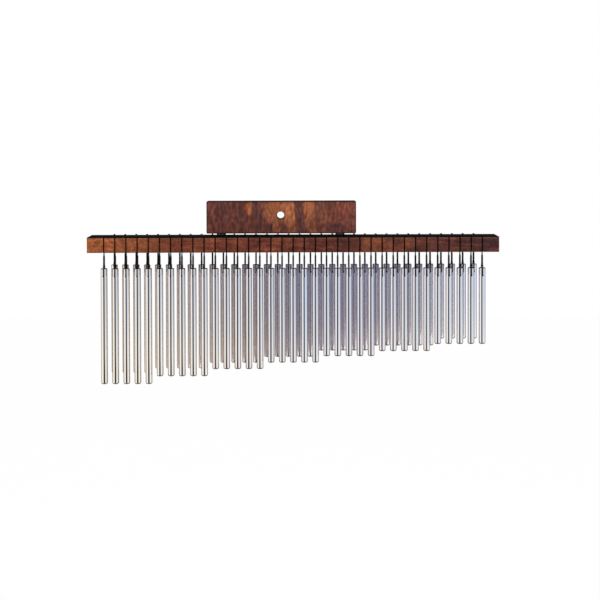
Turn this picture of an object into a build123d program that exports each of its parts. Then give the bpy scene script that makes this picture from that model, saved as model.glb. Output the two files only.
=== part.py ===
"""Double-row bar chimes: two rows of tuned aluminium bars on cord loops under a wooden mantle.

Millimetres, +Z up, front towards -Y. The origin is the centre of the hole that the chimes hang by.
"""

import os

from build123d import *

os.makedirs("parts", exist_ok=True)

# Bars: each row has seven sets, longest on the left, and every bar of a set has one length
FRONT_COUNTS = (5, 5, 5, 5, 5, 5, 5)
FRONT_LENGTHS = (165.0, 154.0, 144.0, 135.0, 126.0, 119.0, 109.0)
BACK_COUNTS = (4, 5, 5, 5, 5, 6, 4)
BACK_LENGTHS = (158.0, 151.5, 143.5, 135.0, 126.0, 119.0, 109.0)
BAR_DIAMETER = 9.525  # round stock, 3/8 in
ROUND_FLATS = 12  # flats that stand for the round of a bar or collar, to keep the faces few
BAR_PITCH = 15.875  # from one bar to the next in its row, 5/8 in
ROW_SPACING = 32.2  # from the front row to the back row
FRONT_DROP = 22.5  # from the mantle's underside to the tops of the front bars
BACK_DROP = 21.3
BACK_SHIFT = 1.3  # how far the back row sits right of midway between the front bars
HOLE_DROP = 11.0  # from the top of a bar to its cross hole

# Cords: one loop a bar, of square section like the hole it passes through, to keep the faces few
CORD = 1.5
CORD_TO_BAR = 0.15  # between a bar and the strands in front of it and behind it
CORD_IN_HOLE = 0.3  # between the cord and the walls of the cross hole
LOOP_SHOULDER = 0.5  # how far above the bar its strands start to lean together
LOOP_GATHER = 4.5  # how far above the bar its strands meet and go on side by side
SWING_CLEARANCE = 0.3  # between a loop, as it turns, and the cord end above it
KNOT_OVERHANG = 0.55  # how far a knot reaches past each side of its slot
KNOT_FOOT = 3.6
KNOT_CROWN = 2.4
KNOT_HEIGHT = 1.6

# Mantle and the strip on its top
MANTLE_HEIGHT = 21.0
MANTLE_END = 24.0  # from the outer cords of the front row to the mantle's ends
MANTLE_OFFSET = 18.0  # the mantle's centre, right of the hole, so that the bars balance
CORD_INSET = 2.9  # from the mantle's faces to the centres of the cords
KERF_SIDE_CLEARANCE = 0.2
KERF_END_CLEARANCE = 0.4
STRIP_THICKNESS = 0.9

# Mounting plate and what holds it up
PLATE_LENGTH = 215.0
PLATE_HEIGHT = 46.5
PLATE_THICKNESS = 12.7
PLATE_CORNER = 2.0
PLATE_SHIFT = 1.0  # the plate's middle, right of the hole
PLATE_GAP = 4.0  # between the strip and the plate, the height of the collars
HANG_HOLE_RADIUS = 5.25
HANG_HOLE_DROP = 20.3  # from the top of the plate to the hole's centre
COLLAR_SPACING = 171.0  # from one collar to the other, half of it on each side of the hole
COLLAR_DIAMETER = 13.4
STUD_RADIUS = 3.1
STUD_IN_PLATE = 16.0
STUD_FLOOR = 6.0  # wood left in the mantle under each stud's hole
STUD_TIP_CLEARANCE = 1.0
STUD_CLEARANCE = 0.05  # around the stud's threads

# Heights
PLATE_TOP = HANG_HOLE_DROP
PLATE_BOTTOM = PLATE_TOP - PLATE_HEIGHT
STRIP_TOP = PLATE_BOTTOM - PLATE_GAP
MANTLE_TOP = STRIP_TOP - STRIP_THICKNESS
MANTLE_BOTTOM = MANTLE_TOP - MANTLE_HEIGHT
FRONT_TOP = MANTLE_BOTTOM - FRONT_DROP
BACK_TOP = MANTLE_BOTTOM - BACK_DROP

# Lengths and depths
MANTLE_LENGTH = (sum(FRONT_COUNTS) - 1) * BAR_PITCH + 2 * MANTLE_END
MANTLE_DEPTH = ROW_SPACING + 2 * CORD_INSET
KERF_WIDTH = CORD + 2 * KERF_SIDE_CLEARANCE
KERF_DEPTH = CORD_INSET + CORD + KERF_END_CLEARANCE
KNOT_WIDTH = KERF_WIDTH + 2 * KNOT_OVERHANG
BAR_HOLE = CORD + 2 * CORD_IN_HOLE
STUD_HOLE_RADIUS = STUD_RADIUS + STUD_CLEARANCE
STUD_IN_MANTLE = MANTLE_HEIGHT - STUD_FLOOR - STUD_TIP_CLEARANCE
COLLAR_PLACES = (-COLLAR_SPACING / 2, COLLAR_SPACING / 2)
FRONT_ROW = -ROW_SPACING / 2
BACK_ROW = ROW_SPACING / 2
FRONT_MIDDLE = MANTLE_OFFSET
BACK_MIDDLE = MANTLE_OFFSET + BACK_SHIFT


def set_places(counts, middle):
    """Gives the bars' places along X, set by set, for a row with that middle."""
    total = sum(counts)
    places = [middle + (n - (total - 1) / 2) * BAR_PITCH for n in range(total)]
    sets = []
    for count in counts:
        sets.append(places[:count])
        places = places[count:]
    return sets


def all_places(counts, middle):
    """Gives the places along X of every bar in a row."""
    return [x for places in set_places(counts, middle) for x in places]


def slotted_outline():
    """Draws the mantle's plan, with a slot for each cord sawn into its front and back edges."""
    slot_middle = (MANTLE_DEPTH - KERF_DEPTH) / 2
    front = [(x, -slot_middle) for x in all_places(FRONT_COUNTS, FRONT_MIDDLE)]
    back = [(x, slot_middle) for x in all_places(BACK_COUNTS, BACK_MIDDLE)]
    with Locations((MANTLE_OFFSET, 0)):
        Rectangle(MANTLE_LENGTH, MANTLE_DEPTH)
    with Locations(*front, *back):
        Rectangle(KERF_WIDTH, KERF_DEPTH, mode=Mode.SUBTRACT)


def bar_set(places, row, top, length):
    """Makes the bars of one set, each with its cross hole near the top."""
    with BuildPart() as bars:
        with BuildSketch(Plane.XY.offset(top)):
            with Locations(*[(x, row) for x in places]):
                RegularPolygon(
                    BAR_DIAMETER / 2, ROUND_FLATS, major_radius=False, rotation=180 / ROUND_FLATS
                )
        extrude(amount=-length)
        with BuildSketch(Plane.XZ.offset(-row)):
            with Locations(*[(x, top - HOLE_DROP) for x in places]):
                Rectangle(BAR_HOLE, BAR_HOLE)
        extrude(amount=BAR_DIAMETER, both=True, mode=Mode.SUBTRACT)
    return bars.part


def cord_set(places, row, top):
    """Makes the loops of one set: two strands from the mantle that part above a bar and meet in its hole."""
    strand = BAR_DIAMETER / 2 + CORD_TO_BAR
    outer = strand + CORD
    shoulder = top + LOOP_SHOULDER
    gather = top + LOOP_GATHER
    bend = MANTLE_BOTTOM + CORD * 3**0.5 / 2
    under = top - HOLE_DROP - CORD / 2
    over = top - HOLE_DROP + CORD / 2
    outside = [
        (CORD / 2, bend),
        (CORD, gather),
        (outer, shoulder),
        (outer, under),
        (-outer, under),
        (-outer, shoulder),
        (-CORD, gather),
        (-CORD / 2, bend),
    ]
    inside = [
        (0, gather - CORD / 2),
        (strand, shoulder),
        (strand, over),
        (-strand, over),
        (-strand, shoulder),
    ]
    with BuildPart() as cords:
        with BuildSketch(*[Plane.YZ.offset(x) for x in places]):
            with Locations((row, 0)):
                Polygon(*outside, align=None)
                Polygon(*inside, align=None, mode=Mode.SUBTRACT)
        extrude(amount=CORD / 2, both=True)
    return cords.part


def knot_row(places, row):
    """Makes a row's knots on the strip, each with its two strands down the slot, as one solid."""
    lower_end = MANTLE_BOTTOM + CORD + SWING_CLEARANCE
    profile = [
        (KNOT_FOOT / 2, 0),
        (KNOT_CROWN / 2, KNOT_HEIGHT),
        (-KNOT_CROWN / 2, KNOT_HEIGHT),
        (-KNOT_FOOT / 2, 0),
    ]
    with BuildPart() as knots:
        with BuildSketch(*[Plane.YZ.offset(x) for x in places]):
            with Locations((row, lower_end)):
                Rectangle(2 * CORD, STRIP_TOP - lower_end, align=(Align.CENTER, Align.MIN))
        extrude(amount=CORD / 2, both=True)
        with BuildSketch(*[Plane.YZ.offset(x) for x in places]):
            with Locations((row, STRIP_TOP)):
                Polygon(*profile, align=None)
        extrude(amount=KNOT_WIDTH / 2, both=True)
    return knots.part


# Mantle, with a blind hole in its top for each stud
with BuildPart() as mantle:
    with BuildSketch(Plane.XY.offset(MANTLE_BOTTOM)):
        slotted_outline()
    extrude(amount=MANTLE_HEIGHT)
    with Locations(*[(x, 0, MANTLE_TOP) for x in COLLAR_PLACES]):
        Hole(STUD_HOLE_RADIUS, depth=STUD_IN_MANTLE + STUD_TIP_CLEARANCE)
mantle.part.label = "mantle"
export_step(mantle.part, "parts/mantle.step")

# Black strip along the mantle's top, sawn through by the same slots
with BuildPart() as top_strip:
    with BuildSketch(Plane.XY.offset(MANTLE_TOP)):
        slotted_outline()
        with Locations(*[(x, 0) for x in COLLAR_PLACES]):
            Circle(STUD_HOLE_RADIUS, mode=Mode.SUBTRACT)
    extrude(amount=STRIP_THICKNESS)
top_strip.part.label = "top_strip"
export_step(top_strip.part, "parts/top_strip.step")

# Mounting plate, with the hole it hangs by and a blind hole in its bottom edge for each stud
with BuildPart() as mounting_plate:
    with BuildSketch(Plane.XZ):
        with Locations((PLATE_SHIFT, (PLATE_TOP + PLATE_BOTTOM) / 2)):
            RectangleRounded(PLATE_LENGTH, PLATE_HEIGHT, PLATE_CORNER)
        Circle(HANG_HOLE_RADIUS, mode=Mode.SUBTRACT)
    extrude(amount=PLATE_THICKNESS / 2, both=True)
    with Locations(*[Plane((x, 0, PLATE_BOTTOM), z_dir=(0, 0, -1)) for x in COLLAR_PLACES]):
        Hole(STUD_HOLE_RADIUS, depth=STUD_IN_PLATE + STUD_TIP_CLEARANCE)
mounting_plate.part.label = "mounting_plate"
export_step(mounting_plate.part, "parts/mounting_plate.step")

# Two round collars that the plate stands on
with BuildPart() as plate_collars:
    with BuildSketch(Plane.XY.offset(STRIP_TOP)):
        with Locations(*[(x, 0) for x in COLLAR_PLACES]):
            RegularPolygon(
                COLLAR_DIAMETER / 2, ROUND_FLATS, major_radius=False, rotation=180 / ROUND_FLATS
            )
            Circle(STUD_HOLE_RADIUS, mode=Mode.SUBTRACT)
    extrude(amount=PLATE_GAP)
plate_collars.part.label = "plate_collars"
export_step(plate_collars.part, "parts/plate_collars.step")

# Two double-ended studs, from inside the mantle up through the collars into the plate
with BuildPart() as plate_studs:
    with BuildSketch(Plane.XY.offset(MANTLE_TOP - STUD_IN_MANTLE)):
        with Locations(*[(x, 0) for x in COLLAR_PLACES]):
            Circle(STUD_RADIUS)
    extrude(amount=STUD_IN_MANTLE + STRIP_THICKNESS + PLATE_GAP + STUD_IN_PLATE)
plate_studs.part.label = "plate_studs"
export_step(plate_studs.part, "parts/plate_studs.step")

# Knots along the mantle's top, then the bars and cords of each row, set by set
for row_name, row, middle, top, counts, lengths in (
    ("front", FRONT_ROW, FRONT_MIDDLE, FRONT_TOP, FRONT_COUNTS, FRONT_LENGTHS),
    ("back", BACK_ROW, BACK_MIDDLE, BACK_TOP, BACK_COUNTS, BACK_LENGTHS),
):
    knots = knot_row(all_places(counts, middle), row)
    knots.label = f"{row_name}_knots"
    export_step(knots, f"parts/{knots.label}.step")
    for number, (places, length) in enumerate(zip(set_places(counts, middle), lengths), start=1):
        bars = bar_set(places, row, top, length)
        bars.label = f"{row_name}_bars_{number}"
        export_step(bars, f"parts/{bars.label}.step")
        cords = cord_set(places, row, top)
        cords.label = f"{row_name}_cords_{number}"
        export_step(cords, f"parts/{cords.label}.step")
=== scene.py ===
"""Looks of the double-row bar chimes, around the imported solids. Metres, +Z up, front towards -Y."""

import math

import bpy
from mathutils import Matrix, Vector


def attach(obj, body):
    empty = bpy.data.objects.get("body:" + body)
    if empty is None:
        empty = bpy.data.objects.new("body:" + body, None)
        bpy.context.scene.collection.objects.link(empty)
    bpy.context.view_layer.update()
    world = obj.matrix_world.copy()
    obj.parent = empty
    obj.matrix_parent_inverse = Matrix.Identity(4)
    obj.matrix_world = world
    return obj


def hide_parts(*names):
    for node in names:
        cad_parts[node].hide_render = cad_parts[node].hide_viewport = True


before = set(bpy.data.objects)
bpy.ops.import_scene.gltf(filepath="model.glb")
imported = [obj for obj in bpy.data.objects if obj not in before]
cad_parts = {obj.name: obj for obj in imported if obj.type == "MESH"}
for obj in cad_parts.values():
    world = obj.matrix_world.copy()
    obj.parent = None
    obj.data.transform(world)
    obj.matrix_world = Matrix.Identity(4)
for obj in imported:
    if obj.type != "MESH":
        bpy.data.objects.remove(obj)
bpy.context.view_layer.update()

MM = 0.001

# Sizes in millimetres, the same as the solids have
FRONT_COUNTS = (5, 5, 5, 5, 5, 5, 5)
FRONT_LENGTHS = (165.0, 154.0, 144.0, 135.0, 126.0, 119.0, 109.0)
BACK_COUNTS = (4, 5, 5, 5, 5, 6, 4)
BACK_LENGTHS = (158.0, 151.5, 143.5, 135.0, 126.0, 119.0, 109.0)
BAR_RADIUS = 9.525 / 2
BAR_PITCH = 15.875
FRONT_ROW = -16.1
BACK_ROW = 16.1
FRONT_TOP = -74.6
BACK_TOP = -73.4
FRONT_MIDDLE = 18.0
BACK_MIDDLE = 19.3
HOLE_DROP = 11.0
MANTLE_LOW, MANTLE_HIGH = -275.875, 311.875
MANTLE_BOTTOM, MANTLE_TOP = -52.1, -31.1
MANTLE_HALF_DEPTH = 19.0
STRIP_TOP = -30.2
SLOT_HALF_WIDTH = 0.95
SLOT_DEPTH = 4.8
PLATE_HALF_LENGTH = 107.5
PLATE_BOTTOM, PLATE_TOP = -26.2, 20.3
PLATE_MIDDLE = 1.0
PLATE_HALF_THICKNESS = 6.35
PLATE_CORNER = 2.0
HANG_HOLE_RADIUS = 5.25
COLLAR_PLACES = (-85.5, 85.5)
COLLAR_RADIUS = 6.7
STUD_HOLE_RADIUS = 3.15
STUD_HOLE_TOP = -9.2
STUD_HOLE_BOTTOM = -46.1

# Detail of the bars that only the looks have, in millimetres
BAR_SIDES = 36
TOP_RIM = 0.9
END_RIM = 2.1
RIM_STEPS = 5
RIM_MARGIN = 0.4
HOLE_RADIUS = 1.3
HOLE_PATCH = 1.75
HOLE_MARGIN = 0.5

# Detail of the cords and knots, in millimetres
CORD_RADIUS = 0.76
LOOP_RADIUS = 1.18
HOLE_FILL = 1.20
STRAND_GAP = 0.15
LOOP_START = MANTLE_BOTTOM + 1.30
KNOT_STRAND_END = MANTLE_BOTTOM + 1.45
CORD_SIDES = 8
BRAID_STEP = 0.6
BRAID_RELIEF = 0.07
KNOT_CORD_RADIUS = 0.52
KNOT_SIDES = 6
KNOT_STEPS = 48
KNOT_RELIEF = 0.05
KNOT_WIDTH = 0.38
KNOT_DEPTH = 0.50
KNOT_HEIGHT = 0.84
KNOT_WEAVE = 0.24

# Detail of the wood and the collars, in millimetres
MANTLE_EASE = 0.3
STRIP_EASE = 0.12
PLATE_EASE = 0.7
COLLAR_RIM = 0.45
COLLAR_RIM_STEPS = 4
COLLAR_GROOVE = 0.35
COLLAR_SIDES = 64
STUD_HOLE_SIDES = 32
HANG_HOLE_SIDES = 48
HANG_HOLE_REACH = 20.0
CUT_PAST = 5.0

# Edges sharper than these angles, in degrees, stay sharp or are eased
SMOOTH_ANGLE = 35
CORD_SMOOTH_ANGLE = 80
EASE_ANGLE = 40


def row_places(counts, middle):
    """Gives the bars' places along X, set by set, for a row with that middle."""
    total = sum(counts)
    places = [middle + (n - (total - 1) / 2) * BAR_PITCH for n in range(total)]
    sets = []
    for count in counts:
        sets.append(places[:count])
        places = places[count:]
    return sets


FRONT_SETS = row_places(FRONT_COUNTS, FRONT_MIDDLE)
BACK_SETS = row_places(BACK_COUNTS, BACK_MIDDLE)
FRONT_PLACES = [x for places in FRONT_SETS for x in places]
BACK_PLACES = [x for places in BACK_SETS for x in places]


# Materials

# Outputs of the node that gives texture coordinates
NORMAL_OUTPUT = 1
OBJECT_OUTPUT = 3


def colour(red, green, blue):
    """Turns a screen colour, 0 to 255, into the linear colour that a shader takes."""
    linear = []
    for value in (red, green, blue):
        value /= 255
        linear.append(value / 12.92 if value <= 0.04045 else ((value + 0.055) / 1.055) ** 2.4)
    return (*linear, 1.0)


def grey(level):
    """A neutral colour of that linear level."""
    return (level, level, level, 1.0)


class Nodes:
    """A node tree that is built one node at a time; each call gives the new node's output."""

    def __init__(self, tree):
        self.tree = tree
        tree.nodes.clear()

    def add(self, kind, inputs=None, output=0, **settings):
        made = self.tree.nodes.new("ShaderNode" + kind)
        for name, value in settings.items():
            setattr(made, name, value)
        for name, value in (inputs or {}).items():
            self.put(made.inputs[name], value)
        return made.outputs[output]

    def put(self, socket, value):
        if isinstance(value, bpy.types.NodeSocket):
            self.tree.links.new(value, socket)
        else:
            socket.default_value = value

    def math(self, operation, first, second=0.0, third=0.0):
        return self.add("Math", {0: first, 1: second, 2: third}, operation=operation)

    def product(self, first, second):
        return self.math("MULTIPLY", first, second)

    def sway(self, value, noise, reach):
        """Moves a value to and fro by a noise."""
        return self.math("MULTIPLY_ADD", self.math("SUBTRACT", noise, 0.5), reach, value)

    def limits(self, value, low, high, new_low=0.0, new_high=1.0):
        """Maps low..high to new_low..new_high, smoothly, and holds it outside that."""
        inputs = {
            "Value": value,
            "From Min": low,
            "From Max": high,
            "To Min": new_low,
            "To Max": new_high,
        }
        return self.add("MapRange", inputs, interpolation_type="SMOOTHSTEP")

    def split(self, vector):
        """Gives a vector's X, Y and Z."""
        parts = self.tree.nodes.new("ShaderNodeSeparateXYZ")
        self.put(parts.inputs[0], vector)
        return parts.outputs

    def place(self):
        """Gives a point's place on the part, in metres."""
        return self.add("TexCoord", output=OBJECT_OUTPUT)

    def noise(self, vector, scale, detail=3.0, roughness=0.55, stretch=(1, 1, 1), turn=(0, 0, 0)):
        """A noise, finer by stretch along X, Y and Z, and turned about them by so many degrees."""
        sizes = [1 / value for value in stretch]
        angles = [math.radians(value) for value in turn]
        inputs = {"Vector": vector, "Scale": sizes, "Rotation": angles}
        placed = self.add("Mapping", inputs, vector_type="TEXTURE")
        inputs = {"Vector": placed, "Scale": scale, "Detail": detail, "Roughness": roughness}
        return self.add("TexNoise", inputs)

    def ramp(self, value, stops):
        made = self.tree.nodes.new("ShaderNodeValToRGB")
        self.put(made.inputs[0], value)
        elements = made.color_ramp.elements
        while len(elements) < len(stops):
            elements.new(0.5)
        for element, (place, tint) in zip(elements, stops):
            element.position = place
            element.color = tint
        return made.outputs[0]

    def mix(self, factor, first, second, blend="MIX"):
        inputs = {0: factor, 6: first, 7: second}
        return self.add("Mix", inputs, output=2, data_type="RGBA", blend_type=blend)

    def shade(self, tone, pattern, low, high, dark, light):
        """Multiplies a tone by a pattern, from dark where it is low to light where it is high."""
        return self.mix(1.0, tone, self.limits(pattern, low, high, dark, light), "MULTIPLY")

    def bump(self, height, strength, distance):
        return self.add("Bump", {"Height": height, "Strength": strength, "Distance": distance})


def new_material(name, metallic=0.0, specular=0.5):
    """Makes a material with one principled shader, and gives the shader's inputs too."""
    material = bpy.data.materials.new(name)
    material.use_nodes = True
    nodes = Nodes(material.node_tree)
    output = nodes.tree.nodes.new("ShaderNodeOutputMaterial")
    shader = nodes.tree.nodes.new("ShaderNodeBsdfPrincipled")
    nodes.tree.links.new(shader.outputs[0], output.inputs[0])
    shader.inputs["Metallic"].default_value = metallic
    shader.inputs["Specular IOR Level"].default_value = specular
    return material, nodes, shader.inputs


def mantle_wood():
    """Oiled hardwood, lighter at the left end, with its grain along X."""
    material, nodes, shader = new_material("mantle_wood", specular=0.15)
    place = nodes.place()
    x, _, z = nodes.split(place)
    along = nodes.sway(x, nodes.noise(place, 22.0, 2.0), 0.05)
    tone = nodes.ramp(
        nodes.math("MULTIPLY_ADD", along, 1 / 0.588, 0.469),
        (
            (0.00, colour(164, 93, 51)),
            (0.10, colour(150, 85, 48)),
            (0.20, colour(112, 57, 38)),
            (0.50, colour(90, 43, 34)),
            (0.62, colour(84, 42, 34)),
            (0.72, colour(90, 47, 37)),
            (0.88, colour(80, 43, 37)),
            (1.00, colour(66, 37, 36)),
        ),
    )
    fibre = nodes.noise(place, 1.0, 5.0, 0.62, stretch=(18, 420, 420))
    streak = nodes.noise(place, 1.0, 2.0, 0.5, stretch=(26, 300, 260), turn=(0, 4, 0))
    figure = nodes.noise(place, 1.0, 3.0, 0.55, stretch=(55, 240, 260), turn=(0, 30, 0))
    mottle = nodes.noise(place, 120.0, 4.0, 0.6, stretch=(0.8, 1, 1.2))
    fine = nodes.noise(place, 400.0, 3.0, 0.6)
    block = nodes.noise(place, 1.0, 2.0, 0.5, stretch=(46, 8, 8))
    pores = nodes.noise(place, 1.0, 2.0, 0.6, stretch=(90, 1900, 1900))
    warm = nodes.noise(place, 1.0, 1.0, 0.5, stretch=(40, 6, 10))

    # Reddish streaks, and orange patches that fade towards the right end
    reddish = nodes.product(nodes.limits(streak, 0.50, 0.66), 0.35)
    tone = nodes.mix(reddish, tone, colour(134, 66, 45))
    fading = nodes.limits(x, 0.16, 0.25, 1.0, 0.2)
    orange = nodes.product(nodes.limits(warm, 0.52, 0.64, 0.0, 0.40), fading)
    tone = nodes.mix(orange, tone, colour(140, 78, 47))
    tone = nodes.shade(tone, fibre, 0.30, 0.70, 0.74, 1.24)
    tone = nodes.shade(tone, fine, 0.32, 0.68, 0.72, 1.26)
    tone = nodes.shade(tone, mottle, 0.32, 0.68, 0.74, 1.24)
    tone = nodes.shade(tone, block, 0.34, 0.66, 0.88, 1.12)

    # Oblique dark lines near the left end
    left_inner = nodes.limits(x, -0.16, -0.08, 1.0, 0.0)
    left_outer = nodes.limits(x, -0.262, -0.240, 0.2, 1.0)
    left = nodes.product(left_inner, left_outer)
    lines = nodes.product(nodes.limits(figure, 0.43, 0.55, 1.0, 0.0), left)
    tone = nodes.mix(nodes.product(lines, 0.6), tone, colour(112, 58, 38))
    tone = nodes.shade(tone, pores, 0.30, 0.42, 0.6, 1.0)

    # Painted highlight along the upper edge and painted shade along the lower edge
    painted_edge_highlight = nodes.limits(z, (MANTLE_TOP - 1.5) * MM, (MANTLE_TOP - 0.3) * MM, 0.0, 0.30)
    tone = nodes.mix(painted_edge_highlight, tone, colour(140, 106, 90))
    shaded = nodes.limits(z, (MANTLE_BOTTOM + 0.3) * MM, (MANTLE_BOTTOM + 2.1) * MM, 0.75, 0.0)
    tone = nodes.mix(shaded, tone, colour(66, 42, 35))
    nodes.put(shader["Base Color"], tone)
    nodes.put(shader["Roughness"], nodes.limits(fibre, 0.25, 0.75, 0.40, 0.56))
    nodes.put(shader["Normal"], nodes.bump(fibre, 0.15, 0.0004))
    return material


# Figure of the plate's wood, soft patches: each has its middle and its reach
# in X and Z, in millimetres, then its strength and its tone
PLATE_FIGURE = (
    ((-84, 2), (9, 17), 0.6, (84, 48, 48)),
    ((-73, -19), (6, 7), 0.7, (124, 66, 52)),
    ((-57, -2), (4, 20), 0.6, (84, 48, 42)),
    ((-44, 12), (7, 8), 0.85, (152, 85, 52)),
    ((-43, -1), (5, 9), 0.35, (124, 68, 50)),
    ((-1, 7), (25, 18), 0.9, (152, 89, 57)),
    ((17, -8), (7, 26), 0.85, (160, 95, 60)),
    ((-6, -18), (5, 8), 0.6, (148, 82, 56)),
    ((4, -19), (3.5, 8), 0.6, (92, 54, 44)),
    ((-13, -18), (3, 7), 0.7, (70, 42, 38)),
    ((41, 10), (10, 12), 0.9, (164, 97, 60)),
    ((43, -9), (11, 18), 0.65, (142, 82, 56)),
    ((62, 4), (12, 20), 0.5, (122, 74, 54)),
    ((90, 8), (16, 9), 0.75, (126, 67, 53)),
    ((80, -18), (18, 8), 0.7, (84, 44, 48)),
    ((-33, -4), (5, 30), 0.85, (84, 49, 44)),
    ((29, -3), (4.5, 30), 0.8, (86, 52, 46)),
)


def plate_wood():
    """Oiled figured hardwood, with dark rims where its edges and its hole are eased."""
    material, nodes, shader = new_material("plate_wood", specular=0.15)
    place = nodes.place()
    x, y, z = nodes.split(place)

    # Soft patches, their outlines made uneven by a noise
    drift = nodes.add("Mapping", {"Vector": place, "Scale": (1, 1, 0.5)})
    uneven = nodes.add("TexNoise", {"Vector": drift, "Scale": 60.0, "Detail": 3.0}, output=1)
    warp = nodes.tree.nodes.new("ShaderNodeSeparateColor")
    nodes.put(warp.inputs[0], uneven)
    swayed = nodes.sway(x, warp.outputs[0], 0.022)
    raised = nodes.sway(z, warp.outputs[1], 0.022)
    tone = nodes.mix(nodes.limits(x, 0.02, 0.08), colour(100, 55, 46), colour(112, 62, 48))
    for (middle_x, middle_z), (reach_x, reach_z), strength, paint in PLATE_FIGURE:
        wide = nodes.math("MULTIPLY_ADD", swayed, 1 / (reach_x * MM), -middle_x / reach_x)
        high = nodes.math("MULTIPLY_ADD", raised, 1 / (reach_z * MM), -middle_z / reach_z)
        square = nodes.math("MULTIPLY_ADD", wide, wide, nodes.product(high, high))
        tone = nodes.mix(nodes.limits(square, 0.15, 1.8, strength, 0.0), tone, colour(*paint))

    # Grain
    flame = nodes.noise(place, 1.0, 4.0, 0.6, stretch=(300, 300, 46), turn=(0, 6, 0))
    mottle = nodes.noise(place, 210.0, 4.0, 0.6, stretch=(1, 1, 0.7))
    streak = nodes.noise(place, 1.0, 3.0, 0.55, stretch=(46, 60, 190), turn=(0, -26, 0))
    pores = nodes.noise(place, 1.0, 2.0, 0.6, stretch=(1400, 1400, 160))
    curl = nodes.noise(place, 1.0, 2.0, 0.5, stretch=(44, 44, 20), turn=(0, -8, 0))
    lines = nodes.math("SINE", nodes.product(curl, 2 * math.pi * 9))
    tone = nodes.shade(tone, lines, -1.0, 1.0, 0.80, 1.14)
    tone = nodes.shade(tone, flame, 0.32, 0.68, 0.72, 1.25)
    tone = nodes.shade(tone, mottle, 0.32, 0.68, 0.72, 1.25)
    right = nodes.limits(x, 0.045, 0.075, 0.0, 0.55)
    purple = nodes.product(nodes.limits(streak, 0.52, 0.64), right)
    tone = nodes.mix(purple, tone, colour(84, 46, 50))
    tone = nodes.shade(tone, pores, 0.28, 0.40, 0.66, 1.0)
    # Darker towards the bottom and lighter towards the top
    tone = nodes.shade(tone, z, -0.026, 0.014, 0.96, 1.07)

    # Dark rims, darkest on the front and back faces
    off_middle = nodes.math("ABSOLUTE", nodes.math("SUBTRACT", x, PLATE_MIDDLE * MM))
    side = nodes.limits(off_middle, (PLATE_HALF_LENGTH - 1.7) * MM, (PLATE_HALF_LENGTH - 0.8) * MM)
    top = nodes.limits(z, (PLATE_TOP - 2.0) * MM, (PLATE_TOP - 1.0) * MM)
    low = nodes.limits(z, (PLATE_BOTTOM + 1.8) * MM, (PLATE_BOTTOM + 0.8) * MM)
    from_hole = nodes.math("SQRT", nodes.math("MULTIPLY_ADD", x, x, nodes.product(z, z)))
    hole = nodes.limits(from_hole, (HANG_HOLE_RADIUS + 1.4) * MM, (HANG_HOLE_RADIUS + 0.5) * MM)
    rim = nodes.math("MAXIMUM", nodes.math("MAXIMUM", side, hole), nodes.math("MAXIMUM", top, low))
    depth = nodes.math("ABSOLUTE", y)
    face = nodes.limits(depth, (PLATE_HALF_THICKNESS - 1.55) * MM, (PLATE_HALF_THICKNESS - 0.35) * MM)
    edge = nodes.mix(face, nodes.mix(0.72, tone, colour(34, 21, 19)), colour(26, 17, 16))
    tone = nodes.mix(nodes.product(rim, 0.92), tone, edge)
    nodes.put(shader["Base Color"], tone)
    nodes.put(shader["Roughness"], nodes.limits(flame, 0.25, 0.75, 0.38, 0.54))
    nodes.put(shader["Normal"], nodes.bump(flame, 0.10, 0.0004))
    return material


def black_strip():
    material, nodes, shader = new_material("black_strip", specular=0.08)
    place = nodes.place()
    nap = nodes.noise(place, 1800.0, 3.0, 0.6)
    wear = nodes.noise(place, 60.0, 3.0, 0.6)
    tone = nodes.ramp(nap, ((0.3, colour(6, 5, 5)), (0.7, colour(18, 16, 16))))
    tone = nodes.shade(tone, wear, 0.3, 0.7, 0.8, 1.15)
    nodes.put(shader["Base Color"], tone)
    nodes.put(shader["Roughness"], nodes.limits(wear, 0.2, 0.8, 0.80, 0.94))
    nodes.put(shader["Normal"], nodes.bump(nap, 0.3, 0.0002))
    return material


def black_cord():
    material, nodes, shader = new_material("black_cord", specular=0.12)
    place = nodes.place()
    yarn = nodes.noise(place, 1.0, 3.0, 0.6, stretch=(2600, 2600, 1500), turn=(35, 0, 0))
    tone = nodes.ramp(yarn, ((0.3, colour(8, 7, 8)), (0.7, colour(28, 25, 27))))
    nodes.put(shader["Base Color"], tone)
    nodes.put(shader["Roughness"], nodes.limits(yarn, 0.2, 0.8, 0.60, 0.78))
    nodes.put(shader["Normal"], nodes.bump(yarn, 0.4, 0.0002))
    return material


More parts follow.
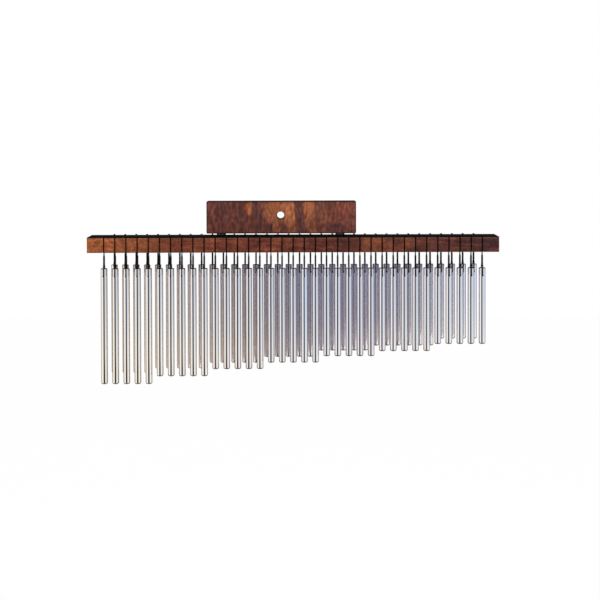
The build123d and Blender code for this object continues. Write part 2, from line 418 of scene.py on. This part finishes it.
def polished_bar():
    """Polished aluminium, with a painted reflection tint that changes along the rows, a little warmer
    at their ends.
    """
    material, nodes, shader = new_material("polished_bar", metallic=1.0)
    place = nodes.place()
    x, y, _ = nodes.split(place)
    drawn = nodes.noise(place, 1.0, 3.0, 0.6, stretch=(5200, 5200, 20))
    cloud = nodes.noise(place, 1.0, 3.0, 0.55, stretch=(64, 64, 9))
    # Painted reflection tint, changing along the rows
    tone = nodes.ramp(
        nodes.math("MULTIPLY_ADD", x, 1 / 0.55, 0.47),
        (
            (0.00, colour(253, 247, 239)),
            (0.24, colour(252, 247, 243)),
            (0.38, colour(246, 240, 239)),
            (0.52, colour(247, 246, 250)),
            (0.67, colour(248, 243, 248)),
            (0.82, colour(254, 250, 249)),
            (1.00, colour(255, 252, 251)),
        ),
    )
    tone = nodes.shade(tone, cloud, 0.35, 0.65, 0.97, 1.0)
    tone = nodes.shade(tone, drawn, 0.25, 0.60, 0.98, 1.0)

    # Each bar has a slightly different tone; the bars of both rows are half a pitch apart
    shift = 100.5 - 2 * FRONT_MIDDLE / BAR_PITCH
    number = nodes.math("FLOOR", nodes.math("MULTIPLY_ADD", x, 2 / (BAR_PITCH * MM), shift))
    each = nodes.add("TexWhiteNoise", {"W": number}, noise_dimensions="1D")
    tone = nodes.shade(tone, each, 0.0, 1.0, 0.93, 1.0)

    # Painted dark reflection on the top rims, most in the front row, with the flat tops less dark, and
    # on the lower ends, which are also rougher
    facing = nodes.split(nodes.add("TexCoord", output=NORMAL_OUTPUT))[2]
    top = nodes.limits(facing, 0.12, 0.45)
    top = nodes.product(top, nodes.limits(y, -0.001, 0.001, 0.95, 0.40))
    top = nodes.product(top, nodes.limits(facing, 0.95, 0.985, 1.0, 0.45))
    tone = nodes.mix(top, tone, colour(44, 41, 44))
    # Lower ends: painted dark reflection in the colour, and a rougher finish
    end = nodes.limits(facing, -0.32, -0.02, 1.0, 0.0)
    tone = nodes.mix(nodes.product(end, 0.85), tone, colour(44, 41, 41))
    nodes.put(shader["Base Color"], tone)
    dull = nodes.limits(cloud, 0.25, 0.75, 0.015, 0.04)
    nodes.put(shader["Roughness"], nodes.math("MULTIPLY_ADD", end, 0.25, dull))
    return material


def dark_steel():
    material, nodes, shader = new_material("dark_steel", metallic=1.0)
    place = nodes.place()
    film = nodes.noise(place, 420.0, 4.0, 0.6)
    turned = nodes.noise(place, 1.0, 2.0, 0.5, stretch=(300, 300, 3200))
    tone = nodes.ramp(film, ((0.3, colour(58, 56, 58)), (0.7, colour(84, 82, 85))))
    nodes.put(shader["Base Color"], tone)
    nodes.put(shader["Roughness"], nodes.limits(film, 0.25, 0.75, 0.08, 0.15))
    nodes.put(shader["Normal"], nodes.bump(turned, 0.03, 0.0002))
    return material


MATERIALS = {
    "mantle_wood": mantle_wood(),
    "plate_wood": plate_wood(),
    "black_strip": black_strip(),
    "black_cord": black_cord(),
    "polished_bar": polished_bar(),
    "dark_steel": dark_steel(),
}


# Shapes: each is a list of points in millimetres and a list of faces


def join(shapes):
    """Puts several shapes, each with its own offset, into one."""
    points, faces = [], []
    for (shape_points, shape_faces), (x, y, z) in shapes:
        start = len(points)
        points.extend((px + x, py + y, pz + z) for px, py, pz in shape_points)
        faces.extend([start + index for index in face] for face in shape_faces)
    return points, faces


def smooth(mesh, angle):
    """Shades a mesh smooth but for edges sharper than that angle."""
    mesh.shade_smooth()
    mesh.set_sharp_from_angle(angle=math.radians(angle))


def new_object(name, shape, smooth_angle=SMOOTH_ANGLE):
    """Makes a mesh object from a shape."""
    points, faces = shape
    mesh = bpy.data.meshes.new(name)
    mesh.from_pydata([(x * MM, y * MM, z * MM) for x, y, z in points], [], faces)
    mesh.validate()
    made = bpy.data.objects.new(name, mesh)
    bpy.context.scene.collection.objects.link(made)
    smooth(mesh, smooth_angle)
    return made


def piece(name, shape, body, slot, nodes, smooth_angle=SMOOTH_ANGLE):
    """Makes a piece that rides on a body and stands for those nodes of the solids."""
    made = new_object(name, shape, smooth_angle)
    made.data.materials.append(MATERIALS[slot])
    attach(made, body)
    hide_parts(*nodes)
    return made


def lathe(profile, sides):
    """Turns a closed profile of radius and height, from top to bottom, about Z."""
    points, faces = [], []
    for radius, height in profile:
        for side in range(sides):
            turn = 2 * math.pi * side / sides
            points.append((radius * math.sin(turn), -radius * math.cos(turn), height))
    for row in range(len(profile) - 1):
        for side in range(sides):
            after = (side + 1) % sides
            top, low = row * sides, (row + 1) * sides
            faces.append([top + side, low + side, low + after, top + after])
    faces.append(list(range(sides)))
    last = (len(profile) - 1) * sides
    faces.append([last + side for side in reversed(range(sides))])
    return points, faces


def bar_shape(length):
    """One bar with its top at zero height, rounded rims and a round cross hole."""
    profile = []
    for step in range(RIM_STEPS + 1):
        turn = math.pi / 2 * step / RIM_STEPS
        radius = BAR_RADIUS - TOP_RIM * (1 - math.sin(turn))
        profile.append((radius, -TOP_RIM * (1 - math.cos(turn))))
    profile.append((BAR_RADIUS, -TOP_RIM - RIM_MARGIN))
    profile.append((BAR_RADIUS, -HOLE_DROP + HOLE_PATCH + HOLE_MARGIN))
    first = len(profile)
    for step in range(5):
        profile.append((BAR_RADIUS, -HOLE_DROP + HOLE_PATCH * (1 - step / 2)))
    profile.append((BAR_RADIUS, -HOLE_DROP - HOLE_PATCH - HOLE_MARGIN))
    profile.append((BAR_RADIUS, -length + END_RIM + RIM_MARGIN))
    for step in range(RIM_STEPS + 1):
        turn = math.pi / 2 * step / RIM_STEPS
        radius = BAR_RADIUS - END_RIM * (1 - math.cos(turn))
        profile.append((radius, -length + END_RIM * (1 - math.sin(turn))))
    points, faces = lathe(profile, BAR_SIDES)

    # A patch of four by four faces, in front and behind, makes room for the hole
    half = BAR_SIDES // 2
    patch = set()
    for row in range(first, first + 4):
        for step in (-2, -1, 0, 1):
            patch.add(row * BAR_SIDES + step % BAR_SIDES)
            patch.add(row * BAR_SIDES + half + step)
    faces = [face for number, face in enumerate(faces) if number not in patch]

    # Places on the patch's border, side and row, going once round
    around = [(step, 0) for step in range(-2, 3)]
    around += [(2, row) for row in range(1, 5)]
    around += [(step, 4) for step in range(1, -3, -1)]
    around += [(-2, row) for row in range(3, 0, -1)]
    rims = []
    for back in (False, True):
        border, rim = [], []
        for step, row in around:
            side = half - step if back else step % BAR_SIDES
            border.append((first + row) * BAR_SIDES + side)
            turn = math.atan2(2 - row, step)
            x = HOLE_RADIUS * math.cos(turn)
            y = math.sqrt(BAR_RADIUS**2 - x**2) * (1 if back else -1)
            rim.append(len(points))
            points.append((x, y, -HOLE_DROP + HOLE_RADIUS * math.sin(turn)))
        for here in range(len(around)):
            there = (here + 1) % len(around)
            face = [border[here], border[there], rim[there], rim[here]]
            faces.append(face if back else face[::-1])
        rims.append(rim)
    front, rear = rims
    for here in range(len(around)):
        there = (here + 1) % len(around)
        faces.append([rear[here], rear[there], front[there], front[here]])
    return points, faces


def spline_points(controls, step):
    """Gives evenly spaced points on the smooth spline that those points control."""
    curve = bpy.data.curves.new("route", "CURVE")
    curve.dimensions = "3D"
    curve.resolution_u = 12
    spline = curve.splines.new("NURBS")
    spline.points.add(len(controls) - 1)
    for point, place in zip(spline.points, controls):
        point.co = (*place, 1.0)
    spline.order_u = 3
    spline.use_endpoint_u = True
    holder = bpy.data.objects.new("route", curve)
    mesh = bpy.data.meshes.new_from_object(holder)
    line = [vertex.co.copy() for vertex in mesh.vertices]
    bpy.data.objects.remove(holder)
    bpy.data.curves.remove(curve)
    bpy.data.meshes.remove(mesh)
    reach = sum((b - a).length for a, b in zip(line, line[1:]))
    gap = reach / round(reach / step)
    spaced, carried = [line[0]], 0.0
    for a, b in zip(line, line[1:]):
        run = (b - a).length
        at = gap - carried
        while at <= run + 1e-9:
            spaced.append(a.lerp(b, min(at / run, 1.0)))
            at += gap
        carried = run - (at - gap)
    return spaced


def braided_tube(path, radii, sides, reference, closed=False, relief=BRAID_RELIEF):
    """Makes a cord along a path, with a radius for each of its points; a braid's diamonds stand out."""
    points, faces = [], []
    count = len(path)
    for number, place in enumerate(path):
        if closed:
            before, after = path[number - 1], path[(number + 1) % count]
        else:
            before, after = path[max(number - 1, 0)], path[min(number + 1, count - 1)]
        ahead = (after - before).normalized()
        across = (reference - ahead * reference.dot(ahead)).normalized()
        other = ahead.cross(across)
        for side in range(sides):
            turn = 2 * math.pi * side / sides
            out = radii[number] * (1 + relief * (1 if (number + side) % 2 else -1))
            points.append(tuple(place + out * (math.cos(turn) * across + math.sin(turn) * other)))
    for number in range(count if closed else count - 1):
        here, there = number * sides, (number + 1) % count * sides
        for side in range(sides):
            after = (side + 1) % sides
            faces.append([here + side, here + after, there + after, there + side])
    if not closed:
        faces.append(list(reversed(range(sides))))
        faces.append([(count - 1) * sides + side for side in range(sides)])
    return points, faces


def held(value):
    """Holds a value between 0 and 1."""
    return min(max(value, 0.0), 1.0)


def loop_shape(top):
    """One loop of cord: two strands side by side, which part above a bar and meet in its cross hole."""
    strand = BAR_RADIUS + STRAND_GAP + CORD_RADIUS
    hole = top - HOLE_DROP

    def radius(height):
        """The strands are fuller between the slot and the place where they part, and in the hole."""
        below_slot = held((MANTLE_BOTTOM - 3.6 - height) / 2.0)
        above_bar = held((height - top - 0.8) / 2.0)
        in_hole = held((hole + 1.5 - height) / 0.7)
        gathered = below_slot * above_bar * (LOOP_RADIUS - CORD_RADIUS)
        return CORD_RADIUS + gathered + in_hole * (HOLE_FILL - CORD_RADIUS)

    # Out of the slot, together to the bar, apart over its rim, down its face and into its hole
    controls = [
        (0, -CORD_RADIUS, LOOP_START),
        (0, -CORD_RADIUS, MANTLE_BOTTOM - 3.20),
        (0, -LOOP_RADIUS, MANTLE_BOTTOM - 6.00),
        (0, -LOOP_RADIUS, top + 6.60),
        (0, -LOOP_RADIUS - 0.10, top + 4.40),
        (0, -strand + 0.35, top + 1.10),
        (0, -strand, top - 0.70),
        (0, -strand, hole + 1.60),
        (0, -strand + 0.10, hole),
        (0, -strand + 1.90, hole),
    ]
    controls += [(x, -y, z) for x, y, z in reversed(controls)]
    path = spline_points(controls, BRAID_STEP)
    radii = [radius(place.z) for place in path]
    return braided_tube(path, radii, CORD_SIDES, Vector((1, 0, 0)))


def knot_shape():
    """A knot that lies on the strip, with its two strands down the slot below it."""
    lie = []
    for step in range(KNOT_STEPS):
        turn = 2 * math.pi * step / KNOT_STEPS
        x = KNOT_WIDTH * (math.sin(turn) + 2 * math.sin(2 * turn))
        y = KNOT_DEPTH * (math.cos(turn) - 2 * math.cos(2 * turn))
        z = STRIP_TOP + KNOT_HEIGHT - KNOT_WEAVE * math.sin(3 * turn)
        lie.append(Vector((x, y, z)))
    radii = [KNOT_CORD_RADIUS] * len(lie)
    tied = braided_tube(lie, radii, KNOT_SIDES, Vector((0, 0, 1)), closed=True, relief=KNOT_RELIEF)
    shapes = [(tied, (0, 0, 0))]
    for y in (-CORD_RADIUS, CORD_RADIUS):
        controls = [(0, y, STRIP_TOP + 0.6), (0, y, MANTLE_TOP - 4), (0, y, KNOT_STRAND_END)]
        path = spline_points(controls, BRAID_STEP)
        strand = braided_tube(path, [CORD_RADIUS] * len(path), CORD_SIDES, Vector((1, 0, 0)))
        shapes.append((strand, (0, 0, 0)))
    return join(shapes)


def slotted_outline():
    """The mantle's plan, with a slot for each cord sawn into its front and back edges."""
    half, width = MANTLE_HALF_DEPTH, SLOT_HALF_WIDTH
    inner = half - SLOT_DEPTH
    outline = [(MANTLE_LOW, -half)]
    for x in FRONT_PLACES:
        left, right = x - width, x + width
        outline += [(left, -half), (left, -inner), (right, -inner), (right, -half)]
    outline += [(MANTLE_HIGH, -half), (MANTLE_HIGH, half)]
    for x in reversed(BACK_PLACES):
        left, right = x - width, x + width
        outline += [(right, half), (right, inner), (left, inner), (left, half)]
    outline.append((MANTLE_LOW, half))
    return outline


def plate_outline():
    """The plate's front, a rectangle with rounded corners, in X and Z."""
    outline = []
    reach = PLATE_HALF_LENGTH - PLATE_CORNER
    left, right = PLATE_MIDDLE - reach, PLATE_MIDDLE + reach
    for x, z, start in (
        (right, PLATE_TOP - PLATE_CORNER, 0),
        (left, PLATE_TOP - PLATE_CORNER, 90),
        (left, PLATE_BOTTOM + PLATE_CORNER, 180),
        (right, PLATE_BOTTOM + PLATE_CORNER, 270),
    ):
        for step in range(7):
            turn = math.radians(start + 15 * step)
            outline.append((x + PLATE_CORNER * math.cos(turn), z + PLATE_CORNER * math.sin(turn)))
    return outline


def collar_outline():
    """A collar's profile of radius and height, with eased rims and a groove, from top to bottom."""
    outline = []
    for step in range(COLLAR_RIM_STEPS + 1):
        turn = math.pi / 2 * step / COLLAR_RIM_STEPS
        inward, down = COLLAR_RIM * (1 - math.sin(turn)), COLLAR_RIM * (1 - math.cos(turn))
        outline.append((COLLAR_RADIUS - inward, PLATE_BOTTOM - down))
    middle = (PLATE_BOTTOM + STRIP_TOP) / 2
    for step in range(-3, 4):
        turn = math.radians(30 * step)
        inward, down = COLLAR_GROOVE * math.cos(turn), COLLAR_GROOVE * math.sin(turn)
        outline.append((COLLAR_RADIUS - inward, middle - down))
    for step in range(COLLAR_RIM_STEPS + 1):
        turn = math.pi / 2 * step / COLLAR_RIM_STEPS
        inward, up = COLLAR_RIM * (1 - math.cos(turn)), COLLAR_RIM * (1 - math.sin(turn))
        outline.append((COLLAR_RADIUS - inward, STRIP_TOP + up))
    return outline


def prism(outline, bottom, top):
    """Raises a plan to a solid between two heights."""
    count = len(outline)
    points = [(x, y, z) for z in (bottom, top) for x, y in outline]
    faces = [list(reversed(range(count))), list(range(count, 2 * count))]
    for here in range(count):
        there = (here + 1) % count
        faces.append([here, there, count + there, count + here])
    return points, faces


def cylinder(radius, bottom, top, sides):
    return lathe([(radius, top), (radius, bottom)], sides)


def upright(shape):
    """Turns a shape that was raised along Z so that it is raised along Y, its top towards the front."""
    points, faces = shape
    return [(x, -z, y) for x, y, z in points], faces


def stud_holes(bottom, top):
    hole = cylinder(STUD_HOLE_RADIUS, bottom, top, STUD_HOLE_SIDES)
    return join([(hole, (x, 0, 0)) for x in COLLAR_PLACES])


def cut(made, shape):
    """Cuts a shape out of an object."""
    tool = new_object("tool", shape)
    change = made.modifiers.new("change", "BOOLEAN")
    change.operation = "DIFFERENCE"
    change.solver = "EXACT"
    change.object = tool
    seen = made.evaluated_get(bpy.context.evaluated_depsgraph_get())
    mesh = bpy.data.meshes.new_from_object(seen)
    made.modifiers.remove(change)
    old, made.data = made.data, mesh
    mesh.name = old.name
    bpy.data.meshes.remove(old)
    bpy.data.meshes.remove(tool.data)
    smooth(mesh, SMOOTH_ANGLE)


def ease(made, width, segments):
    """Takes the sharpness off an object's edges."""
    change = made.modifiers.new("eased", "BEVEL")
    change.width = width * MM
    change.segments = segments
    change.limit_method = "ANGLE"
    change.angle_limit = math.radians(EASE_ANGLE)


# Mantle, strip and plate
mantle_shape = prism(slotted_outline(), MANTLE_BOTTOM, MANTLE_TOP)
mantle = piece("mantle_beam", mantle_shape, "mantle_body", "mantle_wood", ["mantle"])
cut(mantle, stud_holes(STUD_HOLE_BOTTOM, MANTLE_TOP + CUT_PAST))
ease(mantle, MANTLE_EASE, 2)

strip_shape = prism(slotted_outline(), MANTLE_TOP, STRIP_TOP)
strip = piece("mantle_strip", strip_shape, "mantle_body", "black_strip", ["top_strip"])
cut(strip, stud_holes(MANTLE_TOP - CUT_PAST, STRIP_TOP + CUT_PAST))
ease(strip, STRIP_EASE, 1)

plate_shape = upright(prism(plate_outline(), -PLATE_HALF_THICKNESS, PLATE_HALF_THICKNESS))
plate = piece("plate_board", plate_shape, "mantle_body", "plate_wood", ["mounting_plate"])
hang_hole = cylinder(HANG_HOLE_RADIUS, -HANG_HOLE_REACH, HANG_HOLE_REACH, HANG_HOLE_SIDES)
cut(plate, upright(hang_hole))
cut(plate, stud_holes(PLATE_BOTTOM - CUT_PAST, STUD_HOLE_TOP))
ease(plate, PLATE_EASE, 3)

# Collars, turned round, and the studs through them
collar = lathe(collar_outline(), COLLAR_SIDES)
collar_shape = join([(collar, (x, 0, 0)) for x in COLLAR_PLACES])
collars = piece("plate_collars_turned", collar_shape, "mantle_body", "dark_steel", ["plate_collars"])
cut(collars, stud_holes(STRIP_TOP - CUT_PAST, PLATE_BOTTOM + CUT_PAST))

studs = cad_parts["plate_studs"]
studs.data.materials.clear()
studs.data.materials.append(MATERIALS["dark_steel"])

# Knots, bars and cords of each row
knot = knot_shape()
for row_name, row, top, sets, lengths in (
    ("front", FRONT_ROW, FRONT_TOP, FRONT_SETS, FRONT_LENGTHS),
    ("back", BACK_ROW, BACK_TOP, BACK_SETS, BACK_LENGTHS),
):
    knots = join([(knot, (x, row, 0)) for places in sets for x in places])
    piece(f"{row_name}_knots_tied", knots, "mantle_body", "black_cord", [f"{row_name}_knots"])
    loop = loop_shape(top)
    for number, (places, length) in enumerate(zip(sets, lengths), start=1):
        body = f"{row_name}_set_{number}"
        bar_node = f"{row_name}_bars_{number}"
        cord_node = f"{row_name}_cords_{number}"
        bar = bar_shape(length)
        bars = join([(bar, (x, row, top)) for x in places])
        piece(f"{bar_node}_round", bars, body, "polished_bar", [bar_node])
        loops = join([(loop, (x, row, 0)) for x in places])
        piece(f"{cord_node}_braided", loops, body, "black_cord", [cord_node], CORD_SMOOTH_ANGLE)


# Stage, in millimetres for the floor and in metres for the rest

FLOOR_HALF = 6000
FLOOR_TOP = -1250
FLOOR_THICKNESS = 10
FLOOR_WHITE_SHARE = 0.985
WORLD_LIGHT = 0.50
CARD_BOTTOM = -1.24
PANEL_PITCH = 0.3


def shows_as_background(nodes):
    """One where the camera, a reflection or a refraction looks, and zero for light on things."""
    path = nodes.tree.nodes.new("ShaderNodeLightPath").outputs
    seen = nodes.math("MAXIMUM", path["Is Camera Ray"], path["Is Glossy Ray"])
    return nodes.math("MAXIMUM", seen, path["Is Transmission Ray"])


def make_world():
    world = bpy.data.worlds.new("studio")
    bpy.context.scene.world = world
    world.use_nodes = True
    nodes = Nodes(world.node_tree)
    strength = nodes.limits(shows_as_background(nodes), 0.0, 1.0, WORLD_LIGHT, 1.0)
    light = nodes.add("Background", {"Color": grey(1.0), "Strength": strength})
    output = nodes.tree.nodes.new("ShaderNodeOutputWorld")
    nodes.tree.links.new(light, output.inputs[0])


def stage_material(name):
    """Makes an empty material, and gives its nodes and its output's surface too."""
    material = bpy.data.materials.new(name)
    material.use_nodes = True
    nodes = Nodes(material.node_tree)
    output = nodes.tree.nodes.new("ShaderNodeOutputMaterial")
    return material, nodes, output.inputs[0]


def make_floor():
    half = FLOOR_HALF
    outline = [(-half, -half), (half, -half), (half, half), (-half, half)]
    floor = new_object("floor", prism(outline, FLOOR_TOP - FLOOR_THICKNESS, FLOOR_TOP))
    material, nodes, surface = stage_material("floor")
    matt = nodes.add("BsdfDiffuse", {"Color": grey(0.9)})
    white = nodes.add("Emission", {"Color": grey(1.0), "Strength": 1.0})
    share = nodes.product(shows_as_background(nodes), FLOOR_WHITE_SHARE)
    nodes.put(surface, nodes.add("MixShader", {0: share, 1: matt, 2: white}))
    floor.data.materials.append(material)


def make_card(name, corners, paint):
    """A studio card that only reflections see; paint gives its colour from a place on it in X and Z."""
    mesh = bpy.data.meshes.new(name)
    mesh.from_pydata(corners, [], [(0, 1, 2, 3)])
    card = bpy.data.objects.new(name, mesh)
    bpy.context.scene.collection.objects.link(card)
    card.visible_camera = False
    card.visible_diffuse = False
    card.visible_shadow = False
    material, nodes, surface = stage_material(name)
    x, _, z = nodes.split(nodes.place())
    nodes.put(surface, nodes.add("Emission", {"Color": paint(nodes, x, z), "Strength": 1.0}))
    mesh.materials.append(material)


def front_paint(nodes, x, z):
    """Dark to the left and pale to the right, warmer and darker low down."""
    tone = nodes.ramp(
        nodes.math("MULTIPLY_ADD", x, 1 / 2.0, 0.4),
        (
            (0.00, colour(92, 84, 74)),
            (0.14, colour(62, 62, 62)),
            (0.42, colour(56, 62, 76)),
            (0.50, colour(118, 135, 156)),
            (0.62, colour(188, 203, 222)),
            (1.00, colour(222, 230, 240)),
        ),
    )
    dark = nodes.limits(x, 0.04, 0.34, 1.0, 0.0)
    upper = nodes.product(nodes.limits(z, -0.44, -0.32, 0.0, 0.6), dark)
    tone = nodes.mix(upper, tone, colour(70, 80, 94))
    lower = nodes.product(nodes.limits(z, -0.53, -0.41, 0.85, 0.0), dark)
    tone = nodes.mix(lower, tone, colour(80, 63, 46))
    pale = nodes.product(nodes.limits(z, -0.56, -0.46, 0.7, 0.0), nodes.limits(x, 0.30, 0.60))
    tone = nodes.mix(pale, tone, colour(250, 250, 248))
    left = nodes.limits(x, 0.30, 0.70, 1.0, 0.0)
    lowest = nodes.product(nodes.limits(z, -0.57, -0.50, 0.9, 0.0), left)
    return nodes.mix(lowest, tone, colour(38, 30, 25))


def left_paint(nodes, x, z):
    return nodes.mix(nodes.limits(z, -0.64, -0.30), colour(255, 252, 240), colour(253, 247, 244))


def right_paint(nodes, x, z):
    return nodes.mix(nodes.limits(z, -0.60, -0.36), colour(248, 248, 246), colour(216, 225, 238))


def back_paint(nodes, x, z):
    """Soft upright panels, darker ones between lighter ones, with a dark band just above the bars."""
    panels = nodes.math("SINE", nodes.product(x, 2 * math.pi / PANEL_PITCH))
    wave = nodes.limits(panels, -0.7, 0.7)
    right = nodes.limits(x, -0.25, 0.10)
    dark = nodes.mix(right, colour(92, 74, 74), colour(54, 54, 98))
    light = nodes.mix(right, colour(196, 180, 178), colour(172, 172, 212))
    upper = nodes.mix(wave, dark, light)
    lower = nodes.mix(wave, colour(96, 80, 72), colour(204, 190, 180))
    tone = nodes.mix(nodes.limits(z, -0.34, -0.18), lower, upper)
    band = nodes.product(nodes.limits(z, -0.0290, -0.0262), nodes.limits(z, 0.10, 0.30, 1.0, 0.0))
    return nodes.mix(band, tone, colour(40, 35, 38))


def dark_paint(nodes, x, z):
    return nodes.mix(nodes.limits(x, -0.9, 0.9), colour(50, 40, 33), colour(42, 36, 36))


# Upright cards: left and right end on the floor plan, height of the top, and paint
UPRIGHT_CARDS = {
    "card_front": ((-0.85, -1.35), (1.25, -1.35), 0.05, front_paint),
    "card_right_front": ((1.25, -1.35), (1.9, -0.6), 0.6, right_paint),
    "card_right": ((1.9, -0.6), (1.9, 0.35), 0.6, right_paint),
    "card_left": ((-1.6, -1.6), (-1.6, 0.3), 0.6, left_paint),
    "card_back": ((-3.5, 0.35), (3.5, 0.35), 1.2, back_paint),
}

# Level cards: two corners on the floor plan, height, and paint
LEVEL_CARDS = {
    "card_top": ((-0.80, -0.80), (0.85, 0.25), 1.3, dark_paint),
    "card_low": ((-0.40, -0.40), (0.45, 0.20), -1.0, dark_paint),
}

# Lamps: place, size and watts; all aim at one point
LAMP_AIM = (0.0, 0.0, -0.1)
LAMPS = {
    "key": ((-1.6, -2.2, 1.6), (1.8, 1.8), 41.0),
    "fill": ((1.9, -1.9, 0.8), (1.6, 1.6), 20.0),
    "top": ((0.1, 0.3, 2.0), (2.0, 1.2), 14.0),
    "back": ((0.5, 2.2, 0.9), (1.6, 1.6), 22.0),
}


def make_lamp(name, place, size, watts):
    lamp = bpy.data.lights.new(name, "AREA")
    lamp.shape = "RECTANGLE"
    lamp.size, lamp.size_y = size
    lamp.energy = watts
    made = bpy.data.objects.new(name, lamp)
    made.location = place
    made.rotation_euler = (Vector(LAMP_AIM) - Vector(place)).to_track_quat("-Z", "Y").to_euler()
    made.visible_glossy = False
    bpy.context.scene.collection.objects.link(made)


make_world()
make_floor()
for card_name, (left, right, card_top, paint) in UPRIGHT_CARDS.items():
    low_edge = [(*left, CARD_BOTTOM), (*right, CARD_BOTTOM)]
    make_card(card_name, low_edge + [(*right, card_top), (*left, card_top)], paint)
for card_name, ((low_x, low_y), (high_x, high_y), height, paint) in LEVEL_CARDS.items():
    corners = [(low_x, low_y), (high_x, low_y), (high_x, high_y), (low_x, high_y)]
    make_card(card_name, [(x, y, height) for x, y in corners], paint)
for lamp_name, (place, size, watts) in LAMPS.items():
    make_lamp(lamp_name, place, size, watts)

# Camera, level but for a degree, with its frame moved down to the chimes
CAMERA_PLACE = (0.022265, -1.470659, 0.123161)
CAMERA_YAW = 0.004010
CAMERA_PITCH = 0.014268
CAMERA_ROLL = -0.002247
FOCAL_PIXELS = 1020.493
FRAME_PIXELS = 600
FRAME_SHIFT = -0.26
SENSOR_WIDTH = 36.0
lens = bpy.data.cameras.new("camera")
lens.sensor_width = SENSOR_WIDTH
lens.lens = FOCAL_PIXELS / FRAME_PIXELS * SENSOR_WIDTH
lens.shift_y = FRAME_SHIFT
camera = bpy.data.objects.new("camera", lens)
bpy.context.scene.collection.objects.link(camera)
camera_turn = (
    Matrix.Rotation(-CAMERA_YAW, 4, "Z")
    @ Matrix.Rotation(math.pi / 2 - CAMERA_PITCH, 4, "X")
    @ Matrix.Rotation(CAMERA_ROLL, 4, "Z")
)
camera.matrix_world = Matrix.Translation(CAMERA_PLACE) @ camera_turn
bpy.context.scene.camera = camera
bpy.context.scene.view_settings.view_transform = "Standard"
